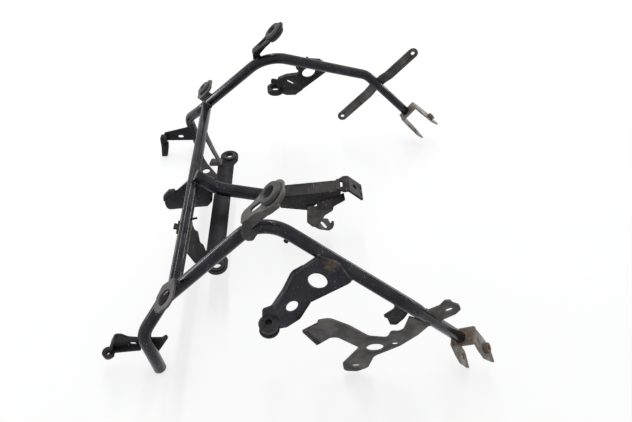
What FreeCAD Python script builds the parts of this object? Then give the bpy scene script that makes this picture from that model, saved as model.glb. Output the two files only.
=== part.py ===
import FreeCAD, Part
import math
import os
import Sketcher
from FreeCAD import Placement, Rotation, Vector

# Fairing stay for a motorcycle, in millimetres.
# X points to the rear, Y to the far side, Z up. The mirror plane is Y = 0
# and the stay stands on Z = 0 on its front feet and its rear forks.

doc = FreeCAD.newDocument("fairing_stay")
sheet = doc.addObject("Spreadsheet::Sheet", "sizes")
sheet.Label = "sizes"
rows = []


def size(name, value):
    """One driving dimension: name in column A, number in column B."""
    rows.append(name)
    sheet.set("A%d" % len(rows), name)
    sheet.set("B%d" % len(rows), str(value))
    sheet.setAlias("B%d" % len(rows), name)


# Tubes
size("tube_dia", 15.9)
size("tube_wall", 1.6)
size("tail_dia", 14.2)
size("spine_dia", 19.1)
size("joint_half_span", 189.0)
size("joint_x", -151.0)
size("joint_height", 118.4)
size("top_bend_radius", 46.0)
size("rear_bend_radius", 40.0)
size("kink_radius", 40.0)
size("foot_bend_radius", 30.0)
# Sheet metal
size("plate", 2.6)
size("thin_plate", 2.0)
size("strap_thick", 3.0)
size("heavy_plate", 3.2)
size("fork_plate", 2.6)
size("lip_depth", 6.0)
# Holes and rubber
size("mount_bore", 14.7)
size("grommet_flange", 29.0)
size("grommet_neck", 20.0)
size("grommet_length", 12.5)
size("small_flange", 25.0)
size("small_neck", 17.0)
size("small_bore", 9.0)
size("small_length", 11.0)
size("ring_hole", 20.5)
size("collar_near", 19.6)
size("collar_far", 28.0)
size("collar_bore_near", 13.6)
size("collar_bore_far", 17.2)
size("collar_height", 9.0)
size("lightening_hole", 22.0)
size("second_hole", 14.7)
size("fork_hole", 8.6)
size("nut_outer", 13.0)
size("nut_height", 5.0)
size("strap_width", 25.4)
size("strap_height", 68.0)
size("strap_ring_outer", 28.4)
size("strap_half_span", 113.0)
size("bush_bore", 12.0)
size("bush_height", 8.0)
size("strap_hole", 6.6)
size("plate_hole", 8.2)
size("head_width", 31.0)
size("channel_width", 23.4)
size("channel_inside", 19.1)
size("nut_bore", 6.0)
size("cup_flange", 23.5)
size("cup_bore", 8.0)
size("cup_length", 19.0)
size("strap_eye", 17.0)
size("bush_flange", 22.0)
size("edging_width", 5.5)
size("gusset_hole", 10.5)
size("cross_strap_width", 17.5)
size("fork_gap", 30.0)
size("rim_width", 7.0)
size("clip_width", 9.6)
size("foot_eye", 6.0)
doc.recompute()


def mm(name):
    return float(sheet.get(name))


NEAR = -1
FAR = 1
nodes = {}


def keep(label, thing):
    """Names a finished piece."""
    thing.Label = label
    nodes[label] = thing
    return thing


# Placement of a flat sheet: origin, direction along it and its normal
def lie(origin, along, normal):
    z = Vector(*normal).normalize()
    x = Vector(*along)
    x = (x - z * x.dot(z)).normalize()
    y = z.cross(x)
    turn = Rotation(x, y, z, "ZXY")
    return Placement(Vector(*origin), turn)


# The same sheet on the other side of the mirror plane
def lie_side(origin, along, normal, side):
    if side == NEAR:
        return lie(origin, along, normal)
    flipped = [(v[0], -v[1], v[2]) for v in (origin, along, normal)]
    return lie(*flipped)


def swap(points, side):
    """Outline points mirrored across their own X axis for the far side."""
    if side == NEAR:
        return points
    return [(p[0], -p[1]) + tuple(p[2:]) for p in points]


def corner(before, at, after, radius):
    """Tangent points and middle of the arc that rounds one corner."""
    a = (before - at).normalize()
    b = (after - at).normalize()
    half = math.acos(max(-1.0, min(1.0, a.dot(b)))) / 2.0
    cut = radius / math.tan(half)
    start = at + a * cut
    end = at + b * cut
    centre = at + (a + b).normalize() * (radius / math.sin(half))
    middle = centre + (at - centre).normalize() * radius
    return start, middle, end


def rounded(points):
    """Closed outline as lines and arcs. A third number rounds a corner."""
    spots = [Vector(p[0], p[1], 0) for p in points]
    count = len(points)
    ends = []
    curves = []
    for i, p in enumerate(points):
        radius = p[2] if len(p) > 2 else 0
        if radius:
            start, middle, end = corner(spots[i - 1], spots[i], spots[(i + 1) % count], radius)
            curves.append(Part.Arc(start, middle, end))
            ends.append((start, end))
        else:
            ends.append((spots[i], spots[i]))
    for i in range(count):
        start = ends[i][1]
        end = ends[(i + 1) % count][0]
        if (end - start).Length > 0.001:
            curves.append(Part.LineSegment(start, end))
    return curves


def slot(x, y, length, width, angle=0.0):
    """Long hole with round ends, as curves."""
    r = width / 2.0
    run = length / 2.0 - r
    d = Vector(math.cos(math.radians(angle)), math.sin(math.radians(angle)), 0)
    n = Vector(-d.y, d.x, 0)
    c = Vector(x, y, 0)
    a = c + d * run
    b = c - d * run
    return [
        Part.LineSegment(b + n * r, a + n * r),
        Part.Arc(a + n * r, a + d * r, a - n * r),
        Part.LineSegment(a - n * r, b - n * r),
        Part.Arc(b - n * r, b - d * r, b + n * r),
    ]


def body_at(name, place=None):
    body = doc.addObject("PartDesign::Body", name)
    body.Placement = place or Placement()
    return body


def plane_of(body, role="XY_Plane"):
    return [f for f in body.Origin.OriginFeatures if f.Role == role][0]


def sketch_on(body, title, place):
    sketch = body.newObject("Sketcher::SketchObject", title)
    sketch.AttachmentSupport = [(plane_of(body), "")]
    sketch.MapMode = "FlatFace"
    sketch.AttachmentOffset = place
    return sketch


def pad(body, title, outline, thick, place=None, holes=(), slots=(), side="Symmetric"):
    """Sheet of constant thickness. Holes are (x, y, name of the diameter)."""
    sketch = sketch_on(body, title + "_outline", place or Placement())
    for curve in rounded(outline):
        sketch.addGeometry(curve, False)
    for x, y, name in holes:
        circle = Part.Circle(Vector(x, y, 0), Vector(0, 0, 1), mm(name) / 2.0)
        index = sketch.addGeometry(circle, False)
        bond = sketch.addConstraint(Sketcher.Constraint("Diameter", index, mm(name)))
        sketch.setExpression("Constraints[%d]" % bond, "sizes." + name)
    for values in slots:
        for curve in slot(*values):
            sketch.addGeometry(curve, False)
    solid = body.newObject("PartDesign::Pad", title)
    solid.Profile = sketch
    solid.SideType = side
    solid.setExpression("Length", "sizes." + thick)
    return solid


def bent(body, title, path, thick, wide, place, radius=3.0):
    """Bent strip: the side view of the sheet, as wide as the named size."""
    t = mm(thick) / 2.0
    spots = [Vector(x, y, 0) for x, y in path]
    left = []
    right = []
    for i, p in enumerate(spots):
        if i == 0:
            d = (spots[1] - p).normalize()
            n = Vector(-d.y, d.x, 0)
            left.append((p.x + n.x * t, p.y + n.y * t))
            right.append((p.x - n.x * t, p.y - n.y * t))
            continue
        if i == len(spots) - 1:
            d = (p - spots[i - 1]).normalize()
            n = Vector(-d.y, d.x, 0)
            left.append((p.x + n.x * t, p.y + n.y * t))
            right.append((p.x - n.x * t, p.y - n.y * t))
            continue
        d0 = (p - spots[i - 1]).normalize()
        d1 = (spots[i + 1] - p).normalize()
        n0 = Vector(-d0.y, d0.x, 0)
        n1 = Vector(-d1.y, d1.x, 0)
        m = (n0 + n1).normalize()
        reach = t / m.dot(n0)
        turn = d0.cross(d1).z
        inner = max(radius - t, 0.3)
        outer = radius + t
        rl, rr = (inner, outer) if turn > 0 else (outer, inner)
        left.append((p.x + m.x * reach, p.y + m.y * reach, rl))
        right.append((p.x - m.x * reach, p.y - m.y * reach, rr))
    return pad(body, title, left + right[::-1], wide, place)


def route(points):
    """Wire of straight runs and tangent arcs. A fourth number is the radius."""
    spots = [Vector(*p[:3]) for p in points]
    edges = []
    last = spots[0]
    for i in range(1, len(points) - 1):
        start, middle, end = corner(spots[i - 1], spots[i], spots[i + 1], points[i][3])
        edges.append(Part.LineSegment(last, start).toShape())
        edges.append(Part.Arc(start, middle, end).toShape())
        last = end
    edges.append(Part.LineSegment(last, spots[-1]).toShape())
    return Part.Wire(edges)


def sweep(title, points, dia):
    """Round bar along a route; its diameter is a formula of the sheet."""
    path = doc.addObject("Part::Feature", title + "_route")
    path.Shape = route(points)
    circle = doc.addObject("Part::Circle", title + "_section")
    circle.setExpression("Radius", "(" + dia + ") / 2")
    first = Vector(*points[0][:3])
    ahead = Vector(*points[1][:3]) - first
    circle.Placement = Placement(first, Rotation(Vector(0, 0, 1), ahead))
    solid = doc.addObject("Part::Sweep", title)
    solid.Sections = [circle]
    names = ["Edge%d" % (i + 1) for i in range(len(path.Shape.Edges))]
    solid.Spine = (path, names)
    solid.Solid = True
    solid.Frenet = False
    return solid


def rod(title, start, end, dia):
    """Straight round bar between two points."""
    a = Vector(*start)
    b = Vector(*end)
    solid = doc.addObject("Part::Cylinder", title)
    solid.setExpression("Radius", "(" + dia + ") / 2")
    solid.Height = (b - a).Length
    solid.Placement = Placement(a, Rotation(Vector(0, 0, 1), b - a))
    return solid


def cut(title, base, tool):
    solid = doc.addObject("Part::Cut", title)
    solid.Base = base
    solid.Tool = tool
    return solid


def cut_all(title, base, tools):
    for i, tool in enumerate(tools):
        base = cut("%s_cut%d" % (title, i + 1), base, tool)
    return base


def fuse(title, parts):
    solid = doc.addObject("Part::MultiFuse", title)
    solid.Shapes = parts
    return solid


# Side tubes: foot, foot bend, front kink, top bend, rear bend and tail.
# The two sides are a pair, a few millimetres out of true with each other.
jx = mm("joint_x")
jz = mm("joint_height")
half = mm("joint_half_span")
cores = {}


def side_tube(name, side, top, rear, tail):
    s = side
    foot = (-185.2, s * 223.6, 1.18)
    ankle = (-193.2, s * 216.8, 71.2, mm("foot_bend_radius"))
    kink = (-162.7, s * 190.9, 107.3, mm("kink_radius"))
    top = (top[0], s * top[1], top[2], mm("top_bend_radius"))
    rear = (rear[0], s * rear[1], rear[2], mm("rear_bend_radius"))
    tail = (tail[0], s * tail[1], tail[2])
    r = Vector(*rear[:3])
    e = Vector(*tail)
    step = r + (e - r).normalize() * 16.0
    waist = r + (e - r).normalize() * 23.0
    main = [foot, ankle, kink, top, rear, tuple(step)]
    outer = sweep(name + "_outer", main, "sizes.tube_dia")
    cone = doc.addObject("Part::Cone", name + "_neck")
    cone.setExpression("Radius1", "sizes.tube_dia / 2")
    cone.setExpression("Radius2", "sizes.tail_dia / 2")
    cone.Height = (waist - step).Length
    cone.Placement = Placement(step, Rotation(Vector(0, 0, 1), e - r))
    end = rod(name + "_tail", tuple(waist), tail, "sizes.tail_dia")
    core = fuse(name + "_core", [outer, cone, end])
    f = Vector(*foot)
    a = Vector(*ankle[:3])
    inside = f + (a - f).normalize() * 4.0
    bore = sweep(name + "_bore", [tuple(inside)] + main[1:], "sizes.tube_dia - 2 * sizes.tube_wall")
    beyond = e + (e - r).normalize() * 2.0
    tail_bore = rod(name + "_tail_bore", tuple(r + (e - r).normalize() * 12.0), tuple(beyond),
                    "sizes.tail_dia - 2 * sizes.tube_wall")
    cores[side] = core
    return keep(name, cut_all(name, core, [bore, tail_bore]))


side_tube("side_tube_near", NEAR, (-41.1, 167.4, 218.5), (117.5, 233.7, 139.9), (190.5, 228.9, 60.8))
side_tube("side_tube_far", FAR, (-45.5, 167.4, 218.9), (118.6, 233.7, 140.1), (195.0, 229.1, 65.6))
TAILS = {NEAR: (190.5, 228.9, 60.8), FAR: (195.0, 229.1, 65.6)}
SHIFT = {NEAR: 0.0, FAR: -5.0}

# Cross tube between the side tubes, coped round both
cross_core = rod("cross_core", (jx, -half, jz), (jx, half, jz), "sizes.tube_dia")
cross_bore = rod("cross_bore", (jx, -half, jz), (jx, half, jz), "sizes.tube_dia - 2 * sizes.tube_wall")
keep("cross_tube", cut_all("cross_tube", cross_core, [cores[NEAR], cores[FAR], cross_bore]))

# Spine tube from the cross tube back into the channel
spine_line = [(jx + 4, 0, 130.5), (-118.0, 0, 103.5, 45.0), (-20.0, 0, 80.0, 120.0), (16.0, 0, 73.5)]
spine_core = sweep("spine_core", spine_line, "sizes.spine_dia")
bore_line = [(-139.5, 0, 123.9)] + spine_line[1:]
spine_bore = sweep("spine_bore", bore_line, "sizes.spine_dia - 2 * sizes.tube_wall")
keep("spine_tube", cut_all("spine_tube", spine_core, [cross_core, spine_bore]))

# Pressed channel over the rear of the spine
SIDE_VIEW = lie((0, 0, 0), (1, 0, 0), (0, -1, 0))
channel = body_at("spine_channel_body", SIDE_VIEW)
shell = [(-30.0, 72.5, 3), (-30.0, 95.5, 4), (58.5, 103.8, 1), (58.5, 97.0, 1), (26.0, 80.0, 3),
         (9.5, 66.0, 3)]
pad(channel, "channel_block", shell, "channel_width")
doc.recompute()
hollow = sketch_on(channel, "channel_hollow_outline", Placement())
room = [(-34.0, 60.0), (-34.0, 93.1), (62.0, 102.1), (62.0, 60.0)]
for curve in rounded(room):
    hollow.addGeometry(curve, False)
pocket = channel.newObject("PartDesign::Pocket", "channel_hollow")
pocket.Profile = hollow
pocket.SideType = "Symmetric"
pocket.setExpression("Length", "sizes.channel_inside")
keep("spine_channel", channel)

# Gutter flange along the sloping lower edge of the channel
slope = Vector(30.0, 0, 16.5).normalize()
gutter = body_at("channel_flange_body", lie((41.0, -11.7, 88.2), tuple(slope),
                                            (slope.z * 0.5, -0.62, 0.78)))
gutter_line = [(-19.0, 0.0), (-22.0, -9.0, 3), (-6.0, -15.0, 3), (2.0, -13.0, 2), (23.0, -11.0, 3),
               (25.0, 0.0)]
pad(gutter, "channel_flange_sheet", gutter_line, "thin_plate")
flange = cut("channel_flange", gutter, channel)
keep("channel_flange", flange)

# Tab below the channel with a long hole and a hooked end
tab = body_at("spine_tab_body")
web_place = lie((19.0, -12.7, 56.0), (1, 0, 0), (0, -1, 0))
web = [(-9.5, 18.0, 1), (-9.9, -14.2, 5), (-2.0, -24.5, 1), (7.0, -24.5, 1), (17.2, 0.0, 4),
       (28.5, 9.5, 3),
       (31.0, 24.5, 2), (2.5, 18.0, 2), (-2.0, 20.0, 1)]
pad(tab, "spine_tab_web", web, "thin_plate", web_place)
floor_place = lie((31.0, -9.0, 31.5), (1, 0, 0), (0.1, 0.05, 1))
floor = [(-18.0, 0.0, 3), (-15.0, -3.0, 2), (-3.0, -10.5, 4), (12.0, -12.5, 5), (19.0, -4.5, 3),
         (12.5, 6.0, 2),
         (10.9, 12.7, 3), (-11.0, 11.4, 4), (-17.0, 5.0, 3)]
pad(tab, "spine_tab_floor", floor, "thin_plate", floor_place, slots=[(3.5, -0.8, 16.0, 5.4, -60.0)])
nub_place = lie((47.3, -12.8, 33.0), (0, 1, 0), (-1, 0, 0.2))
pad(tab, "spine_tab_nub", [(-4.0, -6.0, 1), (4.0, -6.0, 1), (4.0, 5.0, 3.5), (-4.0, 5.0, 3.5)],
    "heavy_plate", nub_place)
keep("spine_tab", cut_all("spine_tab", tab, [channel, flange]))

# Head plate at the rear end, bent down behind the channel, with its nut
head = body_at("head_plate_body", SIDE_VIEW)
knee = Vector(69.5, 0, 106.9)
heel = Vector(90.0, 0, 88.0)
head_path = [(52.5, 104.8), (58.5, 105.35), (knee.x, knee.z), (heel.x, heel.z)]
bent(head, "head_plate_strip", head_path, "heavy_plate", "head_width", Placement(), 4.0)
doc.recompute()
fall = (heel - knee).normalize()
face_up = Vector(-fall.z, 0, fall.x)
head_middle = (knee + heel) * 0.5
face_place = SIDE_VIEW.inverse().multiply(lie(tuple(head_middle), tuple(fall), tuple(face_up)))
openings = sketch_on(head, "head_plate_holes", face_place)
openings.addGeometry(Part.Circle(Vector(-2.0, 0, 0), Vector(0, 0, 1), 4.2), False)
for y in (-6.5, 6.5):
    openings.addGeometry(Part.Circle(Vector(11.5, y, 0), Vector(0, 0, 1), 2.2), False)
bored = head.newObject("PartDesign::Pocket", "head_plate_bores")
bored.Profile = openings
bored.SideType = "Symmetric"
bored.Length = 9.0
doc.recompute()
trim_place = SIDE_VIEW.inverse().multiply(lie((62.0, 0, 107.0), (1, 0, 0), (0, 0, 1)))
trim = sketch_on(head, "head_plate_trim", trim_place)
for s in (NEAR, FAR):
    wedge = [(-14.0, s * 9.5), (-5.0, s * 11.5), (7.0, s * 20.0), (-14.0, s * 22.0)]
    for curve in rounded(wedge):
        trim.addGeometry(curve, False)
for curve in slot(-3.0, 0, 13.0, 5.0, 90.0):
    trim.addGeometry(curve, False)
trimmed = head.newObject("PartDesign::Pocket", "head_plate_sides")
trimmed.Profile = trim
trimmed.SideType = "Symmetric"
trimmed.Length = 16.0
keep("head_plate", cut("head_plate", head, channel))


# Round weld nut standing on a plate
def weld_nut(name, place, hole):
    body = body_at(name + "_body", place)
    doc.recompute()
    sketch = sketch_on(body, name + "_outline", Placement())
    for index, dia in enumerate(("nut_outer", hole)):
        circle = Part.Circle(Vector(0, 0, 0), Vector(0, 0, 1), mm(dia) / 2.0)
        sketch.addGeometry(circle, False)
        bond = sketch.addConstraint(Sketcher.Constraint("Diameter", index, mm(dia)))
        sketch.setExpression("Constraints[%d]" % bond, "sizes." + dia)
    solid = body.newObject("PartDesign::Pad", name + "_ring")
    solid.Profile = sketch
    solid.setExpression("Length", "sizes.nut_height")
    return keep(name, body)


seat = head_middle - fall * 2.0 - face_up * (mm("heavy_plate") / 2.0)
weld_nut("head_nut", lie(tuple(seat), tuple(fall), tuple(face_up * -1.0)), "nut_bore")


# Rubber grommet with two flanges, seated in a plate hole
def grommet(name, place, flange_name, neck_name, bore_name, length_name, groove):
    big = mm(flange_name) / 2.0
    neck = mm(neck_name) / 2.0
    bore = mm(bore_name) / 2.0
    reach = mm(length_name) / 2.0
    gap = mm(groove) / 2.0
    body = body_at(name + "_body", place)
    sketch = body.newObject("Sketcher::SketchObject", name + "_section")
    sketch.AttachmentSupport = [(plane_of(body, "XZ_Plane"), "")]
    sketch.MapMode = "FlatFace"
    edge = min(3.0, (reach - gap) * 0.6)
    half_section = [(bore, -reach), (big - edge * 0.6, -reach, edge * 0.3),
                    (big, -reach + edge, edge * 0.3),
                    (big - edge * 0.2, -gap), (neck, -gap), (neck, gap), (big - edge * 0.2, gap),
                    (big, reach - edge, edge * 0.3), (big - edge * 0.6, reach, edge * 0.3), (bore, reach)]
    for curve in rounded(half_section):
        sketch.addGeometry(curve, False)
    turned = body.newObject("PartDesign::Revolution", name + "_turned")
    turned.Profile = sketch
    turned.ReferenceAxis = (sketch, ["V_Axis"])
    turned.Angle = 360.0
    return keep(name, body)


# Plates that hold the large grommets above the top bends
UP_SLOPE = (0.731, 0, 0.682)
FACE = (-0.682, 0, 0.731)
for side, word in ((NEAR, "near"), (FAR, "far")):
    place = lie_side((-27.5 + SHIFT[side] * 0.8, -170.0, 253.5), UP_SLOPE, FACE, side)
    eye = body_at("eye_plate_%s_body" % word, place)
    face = [(-47.0, -10.6, 2), (-47.0, 5.5, 7), (-30.0, 8.5, 20), (-12.0, 15.0, 14), (8.0, 16.0, 9),
            (16.5, 10.0, 9),
            (16.5, -10.0, 9), (8.0, -16.5, 9), (-10.0, -16.5, 12), (-24.0, -10.6, 14)]
    pad(eye, "eye_face_" + word, swap(face, side), "plate", holes=[(0, 0, "grommet_neck")],
        slots=[(-24.0, -1.5 if side == NEAR else 1.5, 17.0, 7.0, 0.0)])
    drop = lie((0, side * 9.5, 0), (1, 0, 0), (0, 1, 0))
    rim = [(-47.0, 1.3, 1), (-19.5, 1.3), (-19.5, 10.4), (-30.0, 10.4, 6), (-45.0, 12.0, 3),
           (-49.0, 23.0, 3),
           (-57.0, 26.0, 3), (-62.5, 22.0, 3), (-61.5, 15.0, 6), (-52.0, 4.0, 4)]
    pad(eye, "eye_rim_" + word, rim, "plate", drop)
    run = lie((-20.0, side * 9.5, 0), (26.0, side * 6.5, 0), (0.24, -side * 0.97, 0))
    rise = [(-0.5, 1.3), (26.0, 1.3, 1), (27.0, -6.0, 3), (10.0, -9.5, 6), (-0.5, -10.0)]
    wing = [(p[0], side * p[1]) + tuple(p[2:]) for p in rise]
    pad(eye, "eye_wing_" + word, wing, "plate", run)
    keep("eye_plate_" + word, cut("eye_plate_" + word, eye, cores[side]))
    grommet("grommet_" + word, place, "grommet_flange", "grommet_neck", "mount_bore", "grommet_length",
            "plate")

# Ring plates at the front kinks; the far one holds a small grommet
for side, word, hole in ((NEAR, "near", "ring_hole"), (FAR, "far", "small_neck")):
    place = lie_side((-154.3, -209.0, 134.6), UP_SLOPE, FACE, side)
    ring = body_at("ring_plate_%s_body" % word, place)
    disc = [(-17.0, -9.0, 8), (-9.0, -17.0, 8), (9.0, -17.0, 8), (17.0, -9.0, 8), (17.0, 8.0, 8),
            (12.0, 21.0, 2),
            (-9.0, 21.0, 2), (-17.0, 9.0, 8)]
    pad(ring, "ring_face_" + word, swap(disc, side), "plate", holes=[(0, 0, hole)])
    leg = lie((1.5, -side * 19.7, -7.0), (1, 0, 0), (0, 1, 0))
    pad(ring, "ring_leg_" + word, [(-10.5, -8.2), (10.5, -8.2), (10.5, 7.0), (-10.5, 7.0)], "plate", leg)
    keep("ring_plate_" + word, cut("ring_plate_" + word, ring, cores[side]))
grommet("small_grommet_far", lie_side((-154.3, -209.0, 134.6), UP_SLOPE, FACE, FAR),
        "small_flange", "small_neck", "small_bore", "small_length", "plate")


# Lower brackets: a holed plate under each side tube, bent outwards to a collar
def flat_points(points, place, side):
    """World points of the near side laid into a sheet's own plane."""
    back = place.inverse()
    out = []
    for p in points:
        q = back.multVec(Vector(p[0], p[1] if side == NEAR else -p[1], p[2]))
        out.append((q.x, q.y) + tuple(p[3:]))
    return out


def band(points, width):
    """Closed strip along an open line of points, drawn to its left."""
    spots = [Vector(p[0], p[1], 0) for p in points]
    inner = []
    for i, p in enumerate(spots):
        a = spots[max(i - 1, 0)]
        b = spots[min(i + 1, len(spots) - 1)]
        d = (b - a).normalize()
        inner.append((p.x - d.y * width, p.y + d.x * width))
    return [(p.x, p.y) for p in spots] + inner[::-1]


UPPER = (-0.212, -0.947, 0.242)
LOWER = (0.334, -0.891, 0.307)
collar_spot = (-38.4, -237.2, 113.4)
cup = grommet("cup_rubber_near", Placement(Vector(*collar_spot), Rotation()),
              "cup_flange", "collar_bore_near", "cup_bore", "cup_length", "collar_height")
for side, word in ((NEAR, "near"), (FAR, "far")):
    first = lie_side((17.1, -209.7, 158.8), (1, 0, 0.3), UPPER, side)
    second = lie_side((-12.0, -221.9, 129.5), (1, 0, 0.3), LOWER, side)
    bracket = body_at("lower_bracket_%s_body" % word)
    upper = [(1.0, -201.5, 175.5), (18.5, -199.0, 192.0, 2), (38.0, -206.0, 187.0, 6),
             (54.5, -216.0, 166.0, 3),
             (50.0, -216.6, 161.0, 4), (7.6, -215.6, 126.5)]
    hole_at = (0, 0) if side == NEAR else (3.0, -3.5)
    pad(bracket, "upper_web_" + word, flat_points(upper, first, side), "plate", first,
        holes=[hole_at + ("lightening_hole",)])
    if side == NEAR:
        crown = [(2.0, -202.4, 176.0), (-11.0, -206.3, 172.5, 10), (-22.0, -217.0, 153.7, 20)]
        opening = {"holes": [(0, 0, "second_hole")]}
    else:
        crown = [(4.5, -204.9, 166.0), (-2.0, -208.0, 159.0, 6), (-20.0, -215.5, 151.0, 20)]
        opening = {"slots": [(3.5, -10.2, 13.0, 6.0, 38.0)]}
    lower = crown + [(-34.5, -226.6, 138.5, 4), (-45.0, -229.0, 138.0, 4), (-46.0, -236.0, 120.0, 4),
                     (-30.0, -238.0, 108.0, 4), (-19.0, -233.1, 105.0, 6), (-4.0, -225.0, 109.5, 10),
                     (8.8, -215.6, 126.5)]
    pad(bracket, "lower_web_" + word, flat_points(lower, second, side), "plate", second, **opening)
    lip_a = flat_points([(18.0, -202.0, 191.5), (2.0, -202.4, 176.5), (-1.0, -202.6, 173.0)], first, side)
    edge = [(3.0, -202.4, 176.6), (-10.5, -206.3, 171.5), (-22.0, -217.0, 153.7), (-34.0, -226.6, 139.3)]
    if side == FAR:
        edge = [(3.5, -205.2, 165.5), (-2.5, -208.3, 158.5), (-20.0, -215.7, 150.6),
                (-34.0, -226.6, 139.3)]
    lip_b = flat_points(edge, second, side)
    width = 2.6 if side == NEAR else -2.6
    pad(bracket, "upper_lip_" + word, band(lip_a, width), "lip_depth", first, side="One side")
    pad(bracket, "lower_lip_" + word, band(lip_b, width), "lip_depth", second, side="One side")
    eye_place = Placement(Vector(collar_spot[0], side * -collar_spot[1], collar_spot[2]), Rotation())
    doc.recompute()
    sketch = sketch_on(bracket, "collar_outline_" + word, eye_place)
    circle = Part.Circle(Vector(0, 0, 0), Vector(0, 0, 1), mm("collar_" + word) / 2.0)
    sketch.addGeometry(circle, False)
    bond = sketch.addConstraint(Sketcher.Constraint("Diameter", 0, mm("collar_" + word)))
    sketch.setExpression("Constraints[%d]" % bond, "sizes.collar_" + word)
    collar = bracket.newObject("PartDesign::Pad", "collar_" + word)
    collar.Profile = sketch
    collar.SideType = "Symmetric"
    collar.setExpression("Length", "sizes.collar_height")
    doc.recompute()
    bore_sketch = sketch_on(bracket, "collar_bore_outline_" + word, eye_place)
    circle = Part.Circle(Vector(0, 0, 0), Vector(0, 0, 1), mm("collar_bore_" + word) / 2.0)
    bore_sketch.addGeometry(circle, False)
    bond = bore_sketch.addConstraint(Sketcher.Constraint("Diameter", 0, mm("collar_bore_" + word)))
    bore_sketch.setExpression("Constraints[%d]" % bond, "sizes.collar_bore_" + word)
    bore = bracket.newObject("PartDesign::Pocket", "collar_bore_" + word)
    bore.Profile = bore_sketch
    bore.SideType = "Symmetric"
    bore.Length = 30.0
    tools = [cores[side], cup] if side == NEAR else [cores[side]]
    keep("lower_bracket_" + word, cut_all("lower_bracket_" + word, bracket, tools))
# Cross strap with a ring at each end
strap_place = Placement(Vector(-118.0, 0, mm("strap_height")), Rotation())
strap = body_at("cross_strap_body", strap_place)
w = mm("strap_width") / 2.0
reach = mm("strap_half_span")
ring_x = 4.2
r = mm("strap_ring_outer") / 2.0
outline = [(-w, -reach + 12.0, 8), (ring_x - r, -reach + 4.0, 8), (ring_x - r, -reach - r, r - 0.2),
           (ring_x + r, -reach - r, r - 0.2), (ring_x + r, -reach + 10.0, 5), (w, -reach + 20.0, 8),
           (w, reach - 20.0, 8), (ring_x + r, reach - 10.0, 5), (ring_x + r, reach + r, r - 0.2),
           (ring_x - r, reach + r, r - 0.2), (ring_x - r, reach - 4.0, 8), (-w, reach - 12.0, 8)]
pad(strap, "cross_strap_sheet", outline, "strap_thick",
    holes=[(ring_x, -reach, "strap_eye"), (ring_x, reach, "strap_eye")])
keep("cross_strap", strap)
for side, word in ((NEAR, "near"), (FAR, "far")):
    place = Placement(Vector(-118.0 + ring_x, side * reach, mm("strap_height")), Rotation())
    grommet("strap_bush_" + word, place, "bush_flange", "strap_eye", "bush_bore", "bush_height",
            "strap_thick")

# Arms that carry the strap from the cross tube; the near one has a ragged edge
ARM_NORMAL = (0.94, 0, 0.34)
arm_near = [(-78.0, 4.0, 1), (-84.0, -8.0, 3), (-80.0, -15.0, 3), (-93.0, -24.0, 4), (-90.0, -32.0, 5),
            (-100.0, -49.5), (-124.0, -49.5), (-129.0, -20.0, 6), (-128.0, 4.0, 1)]
arm_far = [(97.0, 4.0, 1), (92.0, -22.0, 20), (90.0, -49.5), (101.0, -49.5), (104.0, -28.0, 20),
           (114.0, 4.0, 1)]
for side, word, line in ((NEAR, "near", arm_near), (FAR, "far", arm_far)):
    place = lie((-143.5, 0, 116.0), (0, 1, 0), ARM_NORMAL)
    arm = body_at("arm_%s_body" % word, place)
    pad(arm, "arm_sheet_" + word, line, "thin_plate")
    if side == FAR:
        foot = lie((-128.0, 100.0, mm("strap_height") + 2.5), (1, 0, 0), (0, 0, 1))
        foot_line = [(-17.0, -11.0, 3), (4.0, -11.0, 3), (4.0, 4.0, 2), (-14.0, 6.0, 4)]
        pad(arm, "arm_foot_far", foot_line, "thin_plate", place.inverse().multiply(foot))
    keep("arm_" + word, cut_all("arm_" + word, arm, [cross_core, strap]))

# Upright plate under the spine and cross tube, with a rubber edging in front
front = body_at("front_plate_body", lie((0, -1.3, 0), (1, 0, 0), (0, -1, 0)))
front_line = [(-198.5, 79.5, 3), (-196.0, 91.5, 4), (-187.0, 101.3, 4), (-177.0, 103.0, 5),
              (-161.2, 118.1, 2),
              (-151.0, 124.0), (-122.0, 108.0), (-126.0, 97.0, 2), (-129.0, 81.0, 4), (-137.0, 70.8, 5),
              (-163.7, 69.0, 8), (-173.0, 67.9, 8), (-197.0, 65.7, 6)]
pad(front, "front_plate_sheet", front_line, "plate")
keep("front_plate", cut_all("front_plate", front, [cross_core, spine_core]))
edging = body_at("edge_rubber_body", lie((0, -1.3, 0), (1, 0, 0), (0, -1, 0)))
edging_line = [(-199.0, 85.0, 1), (-198.0, 93.0, 4), (-188.5, 103.5, 4), (-180.0, 105.0, 1),
               (-179.5, 101.0, 1),
               (-186.0, 99.5, 4), (-194.0, 90.5, 4), (-195.8, 84.5, 1)]
pad(edging, "edge_rubber_block", edging_line, "edging_width")
keep("edge_rubber", cut("edge_rubber", edging, front))

# Three-cornered gusset between cross tube and spine, on the far side
gusset = body_at("gusset_body", lie((0, 0, 119.0), (1, 0, 0), (0, 0, 1)))
gusset_line = [(-148.0, 3.0), (-148.0, 54.0, 1), (-143.0, 54.0, 3), (-134.0, 36.0, 30),
               (-118.0, 12.0, 2), (-118.0, 3.0)]
pad(gusset, "gusset_sheet", gusset_line, "thin_plate", holes=[(-134.5, 21.0, "gusset_hole")])
keep("gusset", cut_all("gusset", gusset, [cross_core, spine_core]))

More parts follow.
